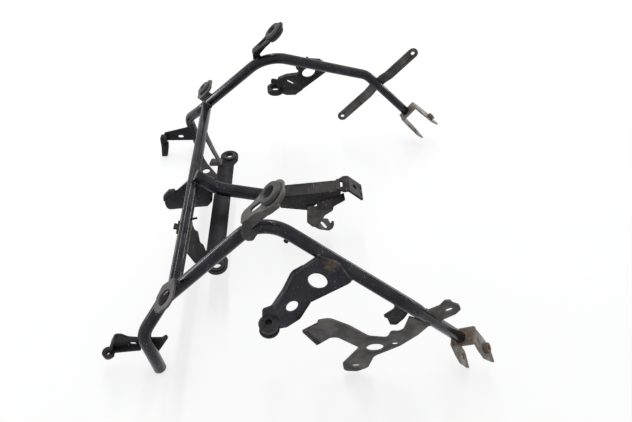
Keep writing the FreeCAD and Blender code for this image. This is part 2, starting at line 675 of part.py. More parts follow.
# Small tabs on the cross tube near its near end
stub = body_at("front_tab_body", lie((-160.4, -87.0, 118.0), (0, 1, 0), (-0.95, 0, 0.3)))
pad(stub, "front_tab_sheet", [(-11.0, -4.0, 2), (9.0, -4.0, 1), (11.0, 4.0, 2), (-8.0, 5.0, 3)],
    "thin_plate")
pad(stub, "front_tab_foot", [(-3.0, -8.0), (6.0, -8.0), (6.0, 0.5), (-3.0, 0.5)], "thin_plate",
    lie((0, 1.0, -2.5), (1, 0, 0), (0, 1, 0.1)))
keep("front_tab", cut("front_tab", stub, cross_core))
peg = rod("guide_pin_body", (jx + 6.0, -74.5, jz + 1.0), (jx + 14.5, -73.0, jz + 2.0),
          "sizes.thin_plate + 1")
keep("guide_pin", cut("guide_pin", peg, cross_core))

# Far strap across the tail tube, with a joggle where it crosses
tail_far = Vector(*TAILS[FAR])
rear_far = Vector(118.6, 233.7, 140.1)
run_far = (tail_far - rear_far).normalize()
crossing = rear_far + run_far * 30.3
rise = Vector(0.674, 0, 0.738)
outward = Vector(0, 1, 0)
xstrap = body_at("tail_strap_body")
gap = mm("tail_dia") / 2.0 + 1.6
profile_place = lie(tuple(crossing), tuple(rise), tuple(rise.cross(outward)))
joggle = [(-97.0, gap - 3.0), (-25.0, gap - 4.0), (-11.0, gap), (11.0, gap), (24.0, gap - 4.0),
          (87.5, gap - 3.0)]
bent(xstrap, "tail_strap_strip", joggle, "strap_thick", "cross_strap_width", profile_place, 4.0)
doc.recompute()
look = profile_place.multiply(Placement(Vector(0, 0, 0), Rotation(Vector(1, 0, 0), 90)))
ends = sketch_on(xstrap, "tail_strap_ends", look)
half_w = mm("cross_strap_width") / 2.0
for tip, sign in ((-97.0, -1), (87.5, 1)):
    inner_x = tip - sign * half_w
    a = Vector(inner_x, half_w, 0)
    b = Vector(tip, 0, 0)
    c = Vector(inner_x, -half_w, 0)
    ends.addGeometry(Part.Arc(a, b, c), False)
    past = tip + sign * 4.0
    ring_points = [c, Vector(inner_x, -half_w - 4.0, 0), Vector(past, -half_w - 4.0, 0),
                   Vector(past, half_w + 4.0, 0),
                   Vector(inner_x, half_w + 4.0, 0), a]
    for k in range(5):
        ends.addGeometry(Part.LineSegment(ring_points[k], ring_points[k + 1]), False)
    ends.addGeometry(Part.Circle(Vector(inner_x, 0, 0), Vector(0, 0, 1), mm("strap_hole") / 2.0), False)
ends_cut = xstrap.newObject("PartDesign::Pocket", "tail_strap_round")
ends_cut.Profile = ends
ends_cut.SideType = "Symmetric"
ends_cut.Length = 60.0
keep("tail_strap", cut("tail_strap", xstrap, cores[FAR]))

# Tab above the near tail tube, with a pad that wraps the tube
rear_tab = body_at("rear_tab_body", lie((0, -231.5, 0), (1, 0, 0), (0, -1, 0)))
tab_line = [(130.0, 124.0, 1), (141.7, 128.1, 4), (151.7, 135.4, 4), (155.5, 145.0, 3), (161.5, 145.5, 3),
            (165.3, 140.4, 4), (172.8, 136.1, 4), (176.5, 128.5, 5), (172.5, 119.0, 5),
            (160.0, 108.5, 4), (149.0, 96.0, 1)]
pad(rear_tab, "rear_tab_sheet", tab_line, "plate", slots=[(163.3, 127.5, 9.5, 6.5, 40.0)])
keep("rear_tab", cut("rear_tab", rear_tab, cores[NEAR]))

# Long lower plate on the near side: drop from the tube, forward arm, lower tab
lower_plate = body_at("lower_plate_body", lie((0, -237.0, 0), (1, 0, 0), (0, -1, 0)))
lower_line = [(118.3, 124.0, 1), (144.4, 108.0, 3), (133.2, 86.2, 20), (114.8, 62.5, 20),
              (85.5, 40.0, 12),
              (80.0, 12.0, 8), (67.0, 2.5, 8), (50.0, 5.0, 8), (47.5, 22.0, 8), (66.5, 61.0, 6),
              (38.6, 87.0, 8),
              (30.5, 86.0, 2), (15.4, 70.2, 1), (-1.7, 101.2, 1), (15.3, 115.9, 1), (16.5, 122.0, 2),
              (29.0, 125.5, 12),
              (52.7, 108.4, 30), (76.0, 84.5, 12), (98.0, 80.0, 4), (101.0, 94.5, 4), (109.5, 93.0, 5),
              (115.0, 97.0, 8)]
pad(lower_plate, "lower_plate_sheet", lower_line, "plate",
    slots=[(85.0, 59.7, 21.0, 18.0, 0.0), (108.4, 66.8, 8.5, 6.8, 0.0), (64.5, 17.0, 10.5, 6.5, 0.0)])
keep("lower_plate", cut("lower_plate", lower_plate, cores[NEAR]))

# Small hooked tab under the near tube, ahead of the lower plate
hook = body_at("hook_tab_body", lie((0, -232.0, 0), (1, 0, 0), (0, -1, 0)))
hook_line = [(101.0, 145.0, 1), (101.0, 132.0, 10), (90.0, 119.5, 2), (95.0, 115.5, 3), (99.5, 102.5, 2),
             (107.0, 101.5, 3), (114.0, 114.0, 8), (118.0, 127.0, 1), (114.0, 138.0, 1)]
pad(hook, "hook_tab_sheet", hook_line, "plate")
keep("hook_tab", cut("hook_tab", hook, cores[NEAR]))

# Small stud under the near top bend
top_near = Vector(-41.1, -167.4, 218.5)
rear_near = Vector(117.5, -233.7, 139.9)
run_near = (rear_near - top_near).normalize()
stud_spot = top_near + run_near * 36.0
beneath = Vector(0, -0.35, -1.0)
beneath = (beneath - run_near * beneath.dot(run_near)).normalize()
stud = rod("stud_near_body", tuple(stud_spot + beneath * 5.0), tuple(stud_spot + beneath * 11.5),
           "sizes.plate + 3")
keep("stud_near", cut("stud_near", stud, cores[NEAR]))


# Fork at the end of each side tube: web across the tube end, two holed legs and a nut.
# The near legs lean outwards, the far ones stand square to their web.
def fork(word, side, run, low_leg, high_leg, broad=None):
    tail = Vector(TAILS[side][0], side * TAILS[side][1], TAILS[side][2])
    run = Vector(*run).normalize()
    over = Vector(0.781, side * 0.239, 0.577)
    over = (over - run * over.dot(run)).normalize()
    outer = run.cross(over).normalize()
    if outer.y * side < 0:
        outer = outer * -1.0
    half_gap = mm("fork_gap") / 2.0
    middle = tail + run * (mm("fork_plate") / 2.0) + over * 2.5
    body = body_at("fork_%s_body" % word)
    web_place = lie(tuple(middle), tuple(over), tuple(run))
    turn = 1.0 if web_place.Rotation.multVec(Vector(0, 1, 0)).dot(outer) > 0 else -1.0
    across = half_gap + mm("fork_plate") / 2.0
    web = [(-across, -12.0 * turn, 2), (across, -12.0 * turn, 2), (across, 10.0 * turn, 2),
           (-across, 10.0 * turn, 2)]
    pad(body, "fork_web_" + word, web, "fork_plate", web_place)
    if broad:
        outer = Vector(*broad).normalize()
    for sign, name, values in ((-1, "low", low_leg), (1, "high", high_leg)):
        length, hole, lean = values
        lean = Vector(*lean).normalize()
        normal = lean.cross(outer).normalize()
        if normal.dot(over) < 0:
            normal = normal * -1.0
        spot = middle + over * (sign * half_gap)
        leg_place = lie(tuple(spot), tuple(lean), tuple(normal))
        turn = 1.0 if leg_place.Rotation.multVec(Vector(0, 1, 0)).dot(outer) > 0 else -1.0
        leg = [(-1.3, -9.0), (0.28 * length, -11.5, 10), (0.68 * length, -12.5, 5), (length, -2.0, 1.5),
               (0.55 * length, 10.5, 14), (0.28 * length, 11.0, 10), (-1.3, 9.0)]
        pad(body, "fork_%s_leg_%s" % (name, word), [(p[0], p[1] * turn) + tuple(p[2:]) for p in leg],
            "fork_plate", leg_place, holes=[(hole, -2.0 * turn, "fork_hole")])
        seat = spot + lean * hole + leg_place.Rotation.multVec(Vector(0, -2.0 * turn, 0))
    keep("fork_" + word, cut("fork_" + word, body, cores[side]))
    seat = seat + normal * (mm("fork_plate") / 2.0)
    weld_nut("fork_nut_" + word, lie(tuple(seat), tuple(lean), tuple(normal)), "nut_bore")


fork("near", NEAR, (73.0, 4.8, -79.1), (60.5, 36.0, (0.455, -0.236, -0.858)),
     (55.0, 26.5, (0.54, -0.26, -0.80)))
fork("far", FAR, (76.4, -4.6, -74.5), (66.0, 40.0, (0.69, 0.0, -0.72)), (67.0, 42.0, (0.76, 0.0, -0.65)),
     (0.1, 0.97, -0.2))

# Front foot brackets: an upright plate inboard of each foot
foot_near = body_at("foot_bracket_near_body", lie((0, -210.2, 3.5), (1, 0, 0), (0, -1, 0)))
foot_line = [(-242.5, 28.5, 2), (-237.5, 45.5, 8), (-229.5, 60.0, 6), (-222.0, 60.0, 6),
             (-215.0, 53.0, 8),
             (-204.0, 50.8, 5), (-188.0, 49.5, 5), (-174.6, 48.8, 4), (-168.5, 54.5, 1),
             (-167.0, 49.0, 1),
             (-184.8, 18.0, 2), (-194.0, 15.5, 3), (-200.0, 31.0, 6), (-209.0, 33.0, 6),
             (-220.0, 31.0, 8)]
pad(foot_near, "foot_web_near", foot_line, "plate", slots=[(-212.0, 39.0, 9.0, 7.0, 0.0)])
rim_line = [(-242.5, 28.5), (-237.5, 45.5), (-229.5, 60.0), (-226.5, 58.0), (-234.0, 44.5),
            (-239.0, 30.0)]
pad(foot_near, "foot_rim_near", rim_line, "rim_width", side="One side")
ledge_line = [(-242.0, 27.2), (-242.0, 30.2), (-220.0, 32.8), (-203.0, 34.5), (-203.0, 31.8),
              (-220.0, 30.0)]
pad(foot_near, "foot_ledge_near", ledge_line, "rim_width", side="One side")
keep("foot_bracket_near", cut("foot_bracket_near", foot_near, cores[NEAR]))
foot_far = body_at("foot_bracket_far_body", lie((0, 210.2, -5.0), (1, 0, 0), (0, -1, 0)))
far_line = [(-240.5, 34.5, 1), (-240.0, 50.5, 1), (-197.0, 61.5, 3), (-184.0, 61.5, 2), (-186.0, 33.5, 3)]
pad(foot_far, "foot_web_far", far_line, "plate", slots=[(-211.7, 42.0, 9.5, 6.5, 0.0)])
keep("foot_bracket_far", cut("foot_bracket_far", foot_far, cores[FAR]))
clip = body_at("clip_far_body", lie((0, 204.2, 0), (1, 0, 0), (0, -1, 0)))
clip_line = [(-246.5, 43.0, 3), (-235.0, 43.0, 1), (-235.0, 33.0, 1), (-241.0, 31.0, 2),
             (-243.2, 20.0, 4), (-247.0, 0.3, 1),
             (-251.5, 0.3, 1), (-248.0, 22.0, 4)]
pad(clip, "clip_far_leaf", clip_line, "clip_width")
leaf_line = [(-242.4, 27.0), (-235.5, 27.0, 1), (-237.0, 16.0, 3), (-241.5, 0.3, 1), (-247.5, 0.3)]
pad(clip, "clip_far_fold", leaf_line, "clip_width")
keep("clip_far", cut("clip_far", clip, foot_far))

# Eye and nut under the front end of the near foot bracket
eye_tab = body_at("foot_eye_near_body", Placement(Vector(-245.0, -215.0, 30.0), Rotation()))
eye_line = [(-7.5, -7.0, 6.5), (8.0, -7.0, 2), (8.0, 8.0, 2), (-7.5, 7.0, 6.5)]
pad(eye_tab, "foot_eye_sheet", eye_line, "plate", holes=[(-0.5, -0.5, "foot_eye")])
keep("foot_eye_near", cut("foot_eye_near", eye_tab, foot_near))
weld_nut("foot_nut_near", lie((-245.5, -215.5, 30.0 - mm("plate") / 2.0), (1, 0, 0), (0, 0, -1)),
         "nut_bore")

doc.recompute()

faults = []
for thing in doc.Objects:
    if "Invalid" in thing.State or "Error" in thing.State:
        faults.append("%s: %s" % (thing.Label, thing.State))
for label, thing in nodes.items():
    shape = thing.Shape
    if shape.isNull() or not shape.isValid() or not shape.Solids:
        faults.append("%s: no valid shape" % label)
    elif len(shape.Solids) != 1:
        faults.append("%s: %d solids" % (label, len(shape.Solids)))
if faults:
    raise RuntimeError("; ".join(faults))

os.makedirs("parts", exist_ok=True)
box = FreeCAD.BoundBox()
for label, thing in nodes.items():
    thing.Shape.exportStep(os.path.join("parts", label + ".step"))
    box.add(thing.Shape.BoundBox)
    print("%-22s volume %9.1f" % (label, thing.Shape.Volume))
print("pieces", len(nodes), "box", box)
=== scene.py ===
import math

import bpy
from bpy.props import FloatProperty, IntProperty, PointerProperty
from bpy.types import Operator, Panel, PropertyGroup
from mathutils import Matrix, Vector
from mathutils.bvhtree import BVHTree


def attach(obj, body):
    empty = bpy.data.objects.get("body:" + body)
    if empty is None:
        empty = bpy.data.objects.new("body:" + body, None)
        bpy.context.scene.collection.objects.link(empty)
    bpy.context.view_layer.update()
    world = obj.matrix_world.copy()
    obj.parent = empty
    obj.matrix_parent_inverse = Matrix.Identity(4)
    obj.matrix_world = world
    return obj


bl_info = {
    "name": "Fairing stay looks",
    "version": (1, 0, 0),
    "blender": (4, 5, 0),
    "location": "View3D > Sidebar > Stay",
    "description": "Finishes, weld beads and threads of a used motorcycle fairing stay",
    "category": "Object",
}

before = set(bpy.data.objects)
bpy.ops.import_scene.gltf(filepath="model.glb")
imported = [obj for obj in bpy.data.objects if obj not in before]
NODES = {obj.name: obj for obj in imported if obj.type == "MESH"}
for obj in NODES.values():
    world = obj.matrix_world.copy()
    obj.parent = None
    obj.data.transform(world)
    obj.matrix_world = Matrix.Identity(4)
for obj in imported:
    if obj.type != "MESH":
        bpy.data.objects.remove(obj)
ROOT = "root"

# Which finish each solid wears. Everything that is not named is dusty dark sheet.
TUBES = ("side_tube_near", "side_tube_far", "cross_tube", "spine_tube")
PALE_SHEET = ("eye_plate_near", "ring_plate_near", "ring_plate_far", "lower_plate", "rear_tab", "arm_far",
              "spine_tab", "tail_strap")
DARK_SHEET = ("cross_strap", "front_plate", "hook_tab", "clip_far", "foot_bracket_far", "foot_bracket_near")
RUSTY = ("fork_near", "fork_far")
NUTS = ("fork_nut_near", "fork_nut_far", "head_nut", "foot_nut_near")
GREY_RUBBER = ("grommet_near", "grommet_far", "small_grommet_far")
BLACK_RUBBER = ("cup_rubber_near", "strap_bush_near", "strap_bush_far", "edge_rubber")

# Middle of the yellowed weld between the near lower bracket and its tube, in metres
BRACKET_WELD = (0.0340, -0.1990, 0.1810)

# Middles of the rust on the forks' webs, in metres
FORK_WEBS = ((0.1960, -0.2285, 0.0600), (0.2005, 0.2290, 0.0650))

# Weld seams: the piece whose edge lies on its neighbour, and that neighbour
WELDS = (
    ("cross_tube", "side_tube_near"),
    ("cross_tube", "side_tube_far"),
    ("spine_tube", "cross_tube"),
    ("eye_plate_near", "side_tube_near"),
    ("eye_plate_far", "side_tube_far"),
    ("ring_plate_near", "side_tube_near"),
    ("ring_plate_far", "side_tube_far"),
    ("lower_bracket_near", "side_tube_near"),
    ("lower_bracket_far", "side_tube_far"),
    ("rear_tab", "side_tube_near"),
    ("lower_plate", "side_tube_near"),
    ("hook_tab", "side_tube_near"),
    ("tail_strap", "side_tube_far"),
    ("arm_near", "cross_tube"),
    ("arm_far", "cross_tube"),
    ("front_plate", "cross_tube"),
    ("front_plate", "spine_tube"),
    ("gusset", "cross_tube"),
    ("gusset", "spine_tube"),
    ("side_tube_near", "fork_near"),
    ("side_tube_far", "fork_far"),
    ("foot_bracket_near", "side_tube_near"),
    ("foot_bracket_far", "side_tube_far"),
)


class StayFinish(PropertyGroup):
    """How rounded, dusty and rusty the pieces are."""

    edge: FloatProperty(name="Edge radius", description="Rounding of every sharp edge", default=0.00045,
                        min=0.0, unit="LENGTH")
    smooth: FloatProperty(name="Smooth angle", description="Edges sharper than this are rounded",
                          default=math.radians(32.0), subtype="ANGLE")
    dust: FloatProperty(name="Dust", description="How dusty the upper faces are", default=0.5,
                        min=0.0, max=1.0, subtype="FACTOR")
    rust: FloatProperty(name="Rust", description="How much of the bare metal has rusted", default=0.55,
                        min=0.0, max=1.0, subtype="FACTOR")


class StayWeld(PropertyGroup):
    """Sizes of the weld beads."""

    bead: FloatProperty(name="Bead radius", description="Half the width of a weld bead", default=0.0013,
                        min=0.0002, unit="LENGTH")
    pitch: FloatProperty(name="Ripple pitch", description="Distance from one ripple to the next",
                         default=0.0013, min=0.0003, unit="LENGTH")
    reach: FloatProperty(name="Contact distance", description="Edges this close to the carrier are welded",
                         default=0.0004, min=0.00005, unit="LENGTH")


class StayThread(PropertyGroup):
    """Sizes of the threads in the nuts."""

    pitch: FloatProperty(name="Thread pitch", description="Rise of the thread in one turn", default=0.00125,
                         min=0.0003, unit="LENGTH")
    depth: FloatProperty(name="Thread depth", description="Radius of the thread's ridge", default=0.0003,
                         min=0.00005, unit="LENGTH")


class StayRib(PropertyGroup):
    """Sizes of the pressed ribs at the front end of the lower plate."""

    radius: FloatProperty(name="Rib radius", description="How far a rib stands out of the sheet",
                          default=0.0007, min=0.0002, unit="LENGTH")
    length: FloatProperty(name="Rib length", description="How far a rib runs back from the edge",
                          default=0.0065, min=0.001, unit="LENGTH")
    count: IntProperty(name="Ribs", description="How many ribs stand side by side", default=9, min=1)


class StayStage(PropertyGroup):
    """Floor and light."""

    floor: FloatProperty(name="Floor size", description="Side of the square floor", default=60.0,
                         unit="LENGTH")
    sky: FloatProperty(name="Sky strength", description="White light from all round", default=0.66, min=0.0)
    key: FloatProperty(name="Key light power", description="Power of the light overhead",
                       default=13.0, min=0.0, unit="POWER")
    glints: FloatProperty(name="Side light power", description="Power of each small light at the sides",
                          default=9.0, min=0.0, unit="POWER")


# Paint: colour and share of scratches and specks, and the scorched colour round a weld
SCRATCH_COLOUR = (0.42, 0.42, 0.44, 1.0)
SCRATCH_SHARE = 0.35
SPECK_SHARE = 0.22
SCORCHED = (0.170, 0.125, 0.052, 1.0)
SCORCHED_RADIUS = 0.020
DUSTY_ROUGHNESS = 0.7

# Rust: how far it spreads round the middle of a fork's web, in metres, and how rough it is
WEB_RUST_RADIUS = 0.030
METAL_ROUGHNESS = 0.42
RUST_ROUGHNESS = 0.88

# Height of the surfaces' fine unevenness, in metres
BUMP_DEPTH = 0.0004

# Points of a solid's mesh that are closer than this are one point, in metres
MERGE = 0.00002

# Only edges that fold by more than this can carry a weld bead
FOLD = math.radians(25.0)

# Random sizes of the drops in a weld bead: smallest and largest share of the radius, and the seed
DROP_SHARES = (0.72, 1.12)
DROP_SEED = 0


def put(tree, kind, **values):
    """A node whose keyword values are properties, or inputs when they start with in_."""
    node = tree.nodes.new(kind)
    for name, value in values.items():
        if name.startswith("in_"):
            node.inputs[name[3:].replace("_", " ")].default_value = value
        else:
            setattr(node, name, value)
    return node


def group_tree(name, inputs, outputs):
    """Empty shader group with named inputs and outputs, and its two end nodes."""
    tree = bpy.data.node_groups.new(name, "ShaderNodeTree")
    for label, kind, value in inputs:
        socket = tree.interface.new_socket(name=label, in_out="INPUT", socket_type=kind)
        if value is not None:
            socket.default_value = value
    for label, kind in outputs:
        tree.interface.new_socket(name=label, in_out="OUTPUT", socket_type=kind)
    enter = tree.nodes.new("NodeGroupInput")
    leave = tree.nodes.new("NodeGroupOutput")
    return tree, enter, leave


def ramp(tree, low, high):
    """Maps low..high to 0..1 with soft ends."""
    node = put(tree, "ShaderNodeMapRange", interpolation_type="SMOOTHSTEP")
    node.inputs["From Min"].default_value = low
    node.inputs["From Max"].default_value = high
    return node


def wear_group():
    """Blotches, fine scratches and specks as masks from object coordinates."""
    tree, enter, leave = group_tree(
        "Worn surface",
        [("Vector", "NodeSocketVector", None), ("Scale", "NodeSocketFloat", 1.0)],
        [("Blotch", "NodeSocketFloat"), ("Scratch", "NodeSocketFloat"), ("Speck", "NodeSocketFloat"),
         ("Grain", "NodeSocketFloat")],
    )
    link = tree.links.new
    sized = put(tree, "ShaderNodeVectorMath", operation="SCALE")
    link(enter.outputs["Vector"], sized.inputs[0])
    link(enter.outputs["Scale"], sized.inputs["Scale"])
    blotch = put(tree, "ShaderNodeTexNoise", in_Scale=26.0, in_Detail=6.0, in_Roughness=0.62,
                 in_Distortion=0.4)
    link(sized.outputs[0], blotch.inputs["Vector"])
    blotch_mask = ramp(tree, 0.38, 0.68)
    link(blotch.outputs[0], blotch_mask.inputs["Value"])
    link(blotch_mask.outputs[0], leave.inputs["Blotch"])
    stretch = put(tree, "ShaderNodeMapping")
    stretch.inputs["Rotation"].default_value = (0.3, 0.7, 0.5)
    stretch.inputs["Scale"].default_value = (1.0, 0.06, 0.5)
    link(sized.outputs[0], stretch.inputs["Vector"])
    lines = put(tree, "ShaderNodeTexNoise", in_Scale=620.0, in_Detail=2.0, in_Roughness=0.5)
    link(stretch.outputs[0], lines.inputs["Vector"])
    line_mask = ramp(tree, 0.66, 0.74)
    link(lines.outputs[0], line_mask.inputs["Value"])
    link(line_mask.outputs[0], leave.inputs["Scratch"])
    dots = put(tree, "ShaderNodeTexNoise", in_Scale=420.0, in_Detail=3.0, in_Roughness=0.7)
    link(sized.outputs[0], dots.inputs["Vector"])
    dot_mask = ramp(tree, 0.66, 0.76)
    link(dots.outputs[0], dot_mask.inputs["Value"])
    link(dot_mask.outputs[0], leave.inputs["Speck"])
    link(dots.outputs[0], leave.inputs["Grain"])
    return tree


def dust_group():
    """Dust that lies on faces turned upwards, broken up by noise."""
    tree, enter, leave = group_tree(
        "Settled dust",
        [("Vector", "NodeSocketVector", None), ("Amount", "NodeSocketFloat", 0.5)],
        [("Dust", "NodeSocketFloat")],
    )
    link = tree.links.new
    place = put(tree, "ShaderNodeNewGeometry")
    split = put(tree, "ShaderNodeSeparateXYZ")
    link(place.outputs["Normal"], split.inputs[0])
    up = ramp(tree, -0.1, 1.0)
    link(split.outputs["Z"], up.inputs["Value"])
    cloud = put(tree, "ShaderNodeTexNoise", in_Scale=55.0, in_Detail=5.0, in_Roughness=0.6)
    link(enter.outputs["Vector"], cloud.inputs["Vector"])
    broken = ramp(tree, 0.25, 0.75)
    link(cloud.outputs[0], broken.inputs["Value"])
    settled = times(tree, up.outputs[0], broken.outputs[0])
    link(times(tree, settled, enter.outputs["Amount"]), leave.inputs["Dust"])
    return tree


def rust_group():
    """Rust colour, mask and height from object coordinates."""
    tree, enter, leave = group_tree(
        "Rust",
        [("Vector", "NodeSocketVector", None), ("Amount", "NodeSocketFloat", 0.5)],
        [("Mask", "NodeSocketFloat"), ("Colour", "NodeSocketColor"), ("Height", "NodeSocketFloat")],
    )
    link = tree.links.new
    patch = put(tree, "ShaderNodeTexNoise", in_Scale=70.0, in_Detail=7.0, in_Roughness=0.66,
                in_Distortion=0.6)
    link(enter.outputs["Vector"], patch.inputs["Vector"])
    lifted = put(tree, "ShaderNodeMath", operation="ADD")
    link(patch.outputs[0], lifted.inputs[0])
    link(enter.outputs["Amount"], lifted.inputs[1])
    mask = ramp(tree, 0.85, 1.15)
    link(lifted.outputs[0], mask.inputs["Value"])
    link(mask.outputs[0], leave.inputs["Mask"])
    tone = put(tree, "ShaderNodeTexNoise", in_Scale=260.0, in_Detail=4.0, in_Roughness=0.7)
    link(enter.outputs["Vector"], tone.inputs["Vector"])
    colours = put(tree, "ShaderNodeValToRGB")
    colours.color_ramp.elements[0].position = 0.3
    colours.color_ramp.elements[0].color = (0.034, 0.022, 0.016, 1.0)
    colours.color_ramp.elements[1].position = 0.72
    colours.color_ramp.elements[1].color = (0.200, 0.124, 0.077, 1.0)
    link(tone.outputs[0], colours.inputs[0])
    link(colours.outputs[0], leave.inputs["Colour"])
    link(tone.outputs[0], leave.inputs["Height"])
    return tree


GROUPS = {}


def shared(name, maker):
    """The group of that name, made at its first use."""
    if name not in GROUPS:
        GROUPS[name] = maker()
    return GROUPS[name]


def start_material(name):
    """Material with its output, shader and object coordinates."""
    material = bpy.data.materials.new(name)
    material.use_nodes = True
    tree = material.node_tree
    tree.nodes.clear()
    out = put(tree, "ShaderNodeOutputMaterial")
    shader = put(tree, "ShaderNodeBsdfPrincipled")
    tree.links.new(shader.outputs[0], out.inputs["Surface"])
    where = put(tree, "ShaderNodeTexCoord")
    return material, tree, shader, where.outputs["Object"]


def use_group(tree, name, maker, vector, **values):
    """Places a shared group in a material with its own values."""
    node = put(tree, "ShaderNodeGroup")
    node.node_tree = shared(name, maker)
    tree.links.new(vector, node.inputs["Vector"])
    for label, value in values.items():
        node.inputs[label].default_value = value
    return node


def fill(tree, socket, value):
    """Links a socket to an input, or sets the input to a plain value."""
    if isinstance(value, bpy.types.NodeSocket):
        tree.links.new(value, socket)
    else:
        socket.default_value = value


def mix(tree, kind, factor, first, second):
    """Mixes two values of one kind, each a socket or a plain value."""
    node = put(tree, "ShaderNodeMix", data_type=kind)
    inputs = [s for s in node.inputs if s.enabled]
    for socket, value in zip(inputs, (factor, first, second)):
        fill(tree, socket, value)
    return [s for s in node.outputs if s.enabled][0]


def mix_colour(tree, factor, first, second):
    return mix(tree, "RGBA", factor, first, second)


def mix_value(tree, factor, first, second):
    return mix(tree, "FLOAT", factor, first, second)


def times(tree, value, share):
    """A mask weakened by a share, kept between 0 and 1."""
    node = put(tree, "ShaderNodeMath", operation="MULTIPLY", use_clamp=True)
    fill(tree, node.inputs[0], value)
    fill(tree, node.inputs[1], share)
    return node.outputs[0]


def bumped(tree, shader, height, strength):
    """Fine unevenness of the surface."""
    node = put(tree, "ShaderNodeBump", in_Strength=strength, in_Distance=BUMP_DEPTH)
    tree.links.new(height, node.inputs["Height"])
    tree.links.new(node.outputs[0], shader.inputs["Normal"])


def mark_group():
    """Ragged mask round a point, by distance from it, for scorched paint and for rust."""
    tree, enter, leave = group_tree(
        "Mark round a point",
        [("Vector", "NodeSocketVector", None), ("Middle", "NodeSocketVector", None),
         ("Radius", "NodeSocketFloat", 0.02)],
        [("Mask", "NodeSocketFloat")],
    )
    link = tree.links.new
    away = put(tree, "ShaderNodeVectorMath", operation="DISTANCE")
    link(enter.outputs["Vector"], away.inputs[0])
    link(enter.outputs["Middle"], away.inputs[1])
    share = put(tree, "ShaderNodeMath", operation="DIVIDE")
    link(away.outputs["Value"], share.inputs[0])
    link(enter.outputs["Radius"], share.inputs[1])
    cloud = put(tree, "ShaderNodeTexNoise", in_Scale=160.0, in_Detail=5.0, in_Roughness=0.7)
    link(enter.outputs["Vector"], cloud.inputs["Vector"])
    ragged = put(tree, "ShaderNodeMath", operation="MULTIPLY_ADD")
    link(cloud.outputs[0], ragged.inputs[0])
    ragged.inputs[1].default_value = 1.1
    link(share.outputs[0], ragged.inputs[2])
    mask = ramp(tree, 1.25, 0.75)
    link(ragged.outputs[0], mask.inputs["Value"])
    link(mask.outputs[0], leave.inputs["Mask"])
    return tree


# Bump strength of the paint's grain for each unit of roughness
GRAIN = 0.25


def paint_material(name, dark, light, dusty, roughness, dust, gloss, burnt=None):
    """Old black paint: two tones in blotches, pale scratches, specks and dust."""
    material, tree, shader, where = start_material(name)
    wear = use_group(tree, "Worn surface", wear_group, where, Scale=1.0)
    film = use_group(tree, "Settled dust", dust_group, where, Amount=dust)
    base = mix_colour(tree, wear.outputs["Blotch"], dark, light)
    faint = times(tree, wear.outputs["Scratch"], SCRATCH_SHARE)
    scratched = mix_colour(tree, faint, base, SCRATCH_COLOUR)
    spots = times(tree, wear.outputs["Speck"], SPECK_SHARE)
    spotted = mix_colour(tree, spots, scratched, dusty)
    covered = mix_colour(tree, film.outputs["Dust"], spotted, dusty)
    if burnt:
        mark = use_group(tree, "Mark round a point", mark_group, where, Middle=burnt,
                         Radius=SCORCHED_RADIUS)
        covered = mix_colour(tree, mark.outputs["Mask"], covered, SCORCHED)
    tree.links.new(covered, shader.inputs["Base Color"])
    shader.inputs["Specular Tint"].default_value = (0.90, 0.88, 1.0, 1.0)
    dull = mix_value(tree, film.outputs["Dust"], roughness, DUSTY_ROUGHNESS)
    tree.links.new(dull, shader.inputs["Roughness"])
    shader.inputs["IOR"].default_value = 1.5
    shader.inputs["Specular IOR Level"].default_value = gloss
    bumped(tree, shader, wear.outputs["Grain"], roughness * GRAIN)
    return material


def rusty_material(name, metal, amount, shine, middles=()):
    """Bare metal under patches of brown rust, closed up round the given places."""
    material, tree, shader, where = start_material(name)
    wear = use_group(tree, "Worn surface", wear_group, where, Scale=1.6)
    rust = use_group(tree, "Rust", rust_group, where, Amount=amount)
    base = mix_colour(tree, wear.outputs["Blotch"], metal, tuple(v * 0.55 for v in metal[:3]) + (1.0,))
    mask = rust.outputs["Mask"]
    for middle in middles:
        mark = use_group(tree, "Mark round a point", mark_group, where, Middle=middle,
                         Radius=WEB_RUST_RADIUS)
        either = put(tree, "ShaderNodeMath", operation="MAXIMUM")
        tree.links.new(mask, either.inputs[0])
        tree.links.new(mark.outputs["Mask"], either.inputs[1])
        mask = either.outputs[0]
    covered = mix_colour(tree, mask, base, rust.outputs["Colour"])
    tree.links.new(covered, shader.inputs["Base Color"])
    metallic = mix_value(tree, mask, shine, 0.0)
    tree.links.new(metallic, shader.inputs["Metallic"])
    rough = mix_value(tree, mask, METAL_ROUGHNESS, RUST_ROUGHNESS)
    tree.links.new(rough, shader.inputs["Roughness"])
    bumped(tree, shader, rust.outputs["Height"], 0.35)
    return material


def rubber_material(name, dark, pale, dust):
    """Rubber that has gone grey on its upper faces."""
    material, tree, shader, where = start_material(name)
    wear = use_group(tree, "Worn surface", wear_group, where, Scale=1.3)
    film = use_group(tree, "Settled dust", dust_group, where, Amount=dust)
    base = mix_colour(tree, wear.outputs["Blotch"], dark, pale)
    covered = mix_colour(tree, film.outputs["Dust"], base, (0.24, 0.24, 0.23, 1.0))
    tree.links.new(covered, shader.inputs["Base Color"])
    shader.inputs["Roughness"].default_value = 0.6
    shader.inputs["IOR"].default_value = 1.45
    shader.inputs["Specular IOR Level"].default_value = 0.25
    bumped(tree, shader, wear.outputs["Grain"], 0.25)
    return material


